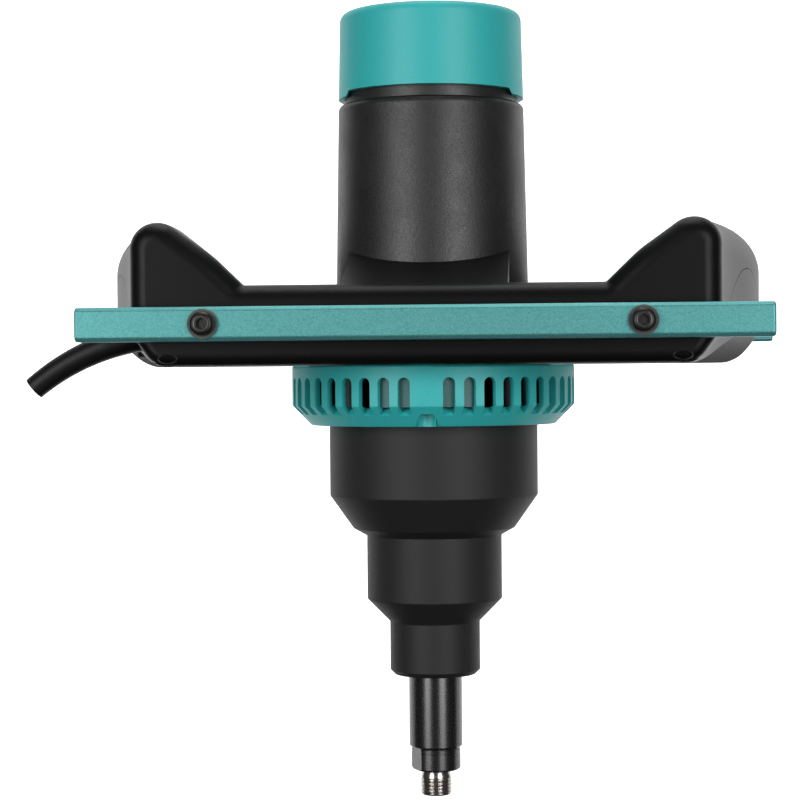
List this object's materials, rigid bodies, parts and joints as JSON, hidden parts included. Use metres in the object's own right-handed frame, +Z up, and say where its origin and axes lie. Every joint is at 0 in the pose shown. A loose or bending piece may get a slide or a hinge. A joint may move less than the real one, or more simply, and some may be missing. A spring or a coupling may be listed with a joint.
{
  "type": "mixing drill",
  "caption": "Two-handed paddle mixer: motor column through a grip frame with guard bars, slotted vent ring, gear case, collar neck and threaded spindle that turns with the geared motor.",
  "frame": {"origin": "on the spindle axis, on the shoulder that a paddle's hub seats against", "axes": "+Z up along the spindle towards the cap, -Y the front with the shorter bar, +X to the right"},
  "size_m": [0.3279, 0.1994, 0.3474],
  "materials": {
    "teal_moulding": "satin moulded plastic",
    "teal_powder_coat": "fine powder coat on steel bar",
    "black_grip_moulding": "satin moulded plastic",
    "dark_housing_moulding": "fine spark-eroded texture",
    "charcoal_casting": "matte charcoal coating on a die casting",
    "black_oxide_steel": "polished black oxide",
    "bright_steel": "ground",
    "plated_washer": "plain plated",
    "lamination_steel": "stacked sheet",
    "copper": "enamelled winding and copper bars",
    "yellow_brass": "plain",
    "carbon": "pressed carbon",
    "black_rubber": "matte",
    "control_moulding": "fine grain",
    "fan_moulding": "glass-filled"
  },
  "bodies": {
    "frame": {"top_cap": "teal_moulding", "vent_ring": "teal_moulding", "front_bar": "teal_powder_coat", "rear_bar": "teal_powder_coat", "handle_upper_shell": "black_grip_moulding", "handle_lower_shell": "black_grip_moulding", "side_cover_left": "black_grip_moulding", "side_cover_right": "black_grip_moulding", "motor_housing": "dark_housing_moulding", "gear_case": "charcoal_casting", "spindle_neck": "charcoal_casting", "gear_plate": "charcoal_casting", "bar_bolts": "black_oxide_steel", "shell_screws": "black_oxide_steel", "ring_screws": "black_oxide_steel", "gear_plate_screws": "black_oxide_steel", "motor_screws": "black_oxide_steel", "neck_screws": "black_oxide_steel", "spindle_low_bearing": "bright_steel", "spindle_high_bearing": "bright_steel", "motor_low_bearing": "bright_steel", "motor_top_bearing": "bright_steel", "bar_washers": "plated_washer", "stator_core": "lamination_steel", "field_coils": "copper", "bar_inserts": "yellow_brass", "brush_holders": "yellow_brass", "layshaft_low_bush": "yellow_brass", "layshaft_high_bush": "yellow_brass", "carbon_brushes": "carbon", "cable_sleeve": "black_rubber", "spindle_seal": "black_rubber", "switch_body": "control_moulding"},
    "armature": {"armature_shaft": "bright_steel", "armature_core": "lamination_steel", "armature_coils": "copper", "commutator": "copper", "cooling_fan": "fan_moulding"},
    "layshaft": {"layshaft": "bright_steel", "layshaft_gear": "bright_steel"},
    "spindle": {"spindle": "black_oxide_steel", "spindle_gear": "bright_steel", "spindle_circlip": "black_oxide_steel"},
    "trigger": {"trigger": "control_moulding"},
    "lock_button": {"lock_button": "control_moulding"}
  },
  "joints": [
    {"name": "armature_spin", "type": "hinge", "parent": "frame", "child": "armature", "pos_m": [0, 0, 0.2175], "axis": [0, 0, 1], "continuous": true},
    {"name": "layshaft_spin", "type": "hinge", "parent": "frame", "child": "layshaft", "pos_m": [0, 0.0223, 0.1275], "axis": [0, 0, 1], "continuous": true},
    {"name": "spindle_spin", "type": "hinge", "parent": "frame", "child": "spindle", "pos_m": [0, 0, 0.06], "axis": [0, 0, 1], "continuous": true},
    {"name": "trigger_press", "type": "slide", "parent": "frame", "child": "trigger", "axis": [0, 0, 1], "range_m": [0, 0.006], "stiffness_N_per_m": 900},
    {"name": "lock_button_press", "type": "slide", "parent": "frame", "child": "lock_button", "axis": [-1, 0, 0], "range_m": [0, 0.003], "stiffness_N_per_m": 600}
  ],
  "couplings": [
    {"joint": "layshaft_spin", "follows": "armature_spin", "ratio": -0.22222},
    {"joint": "spindle_spin", "follows": "armature_spin", "ratio": 0.057143}
  ]
}
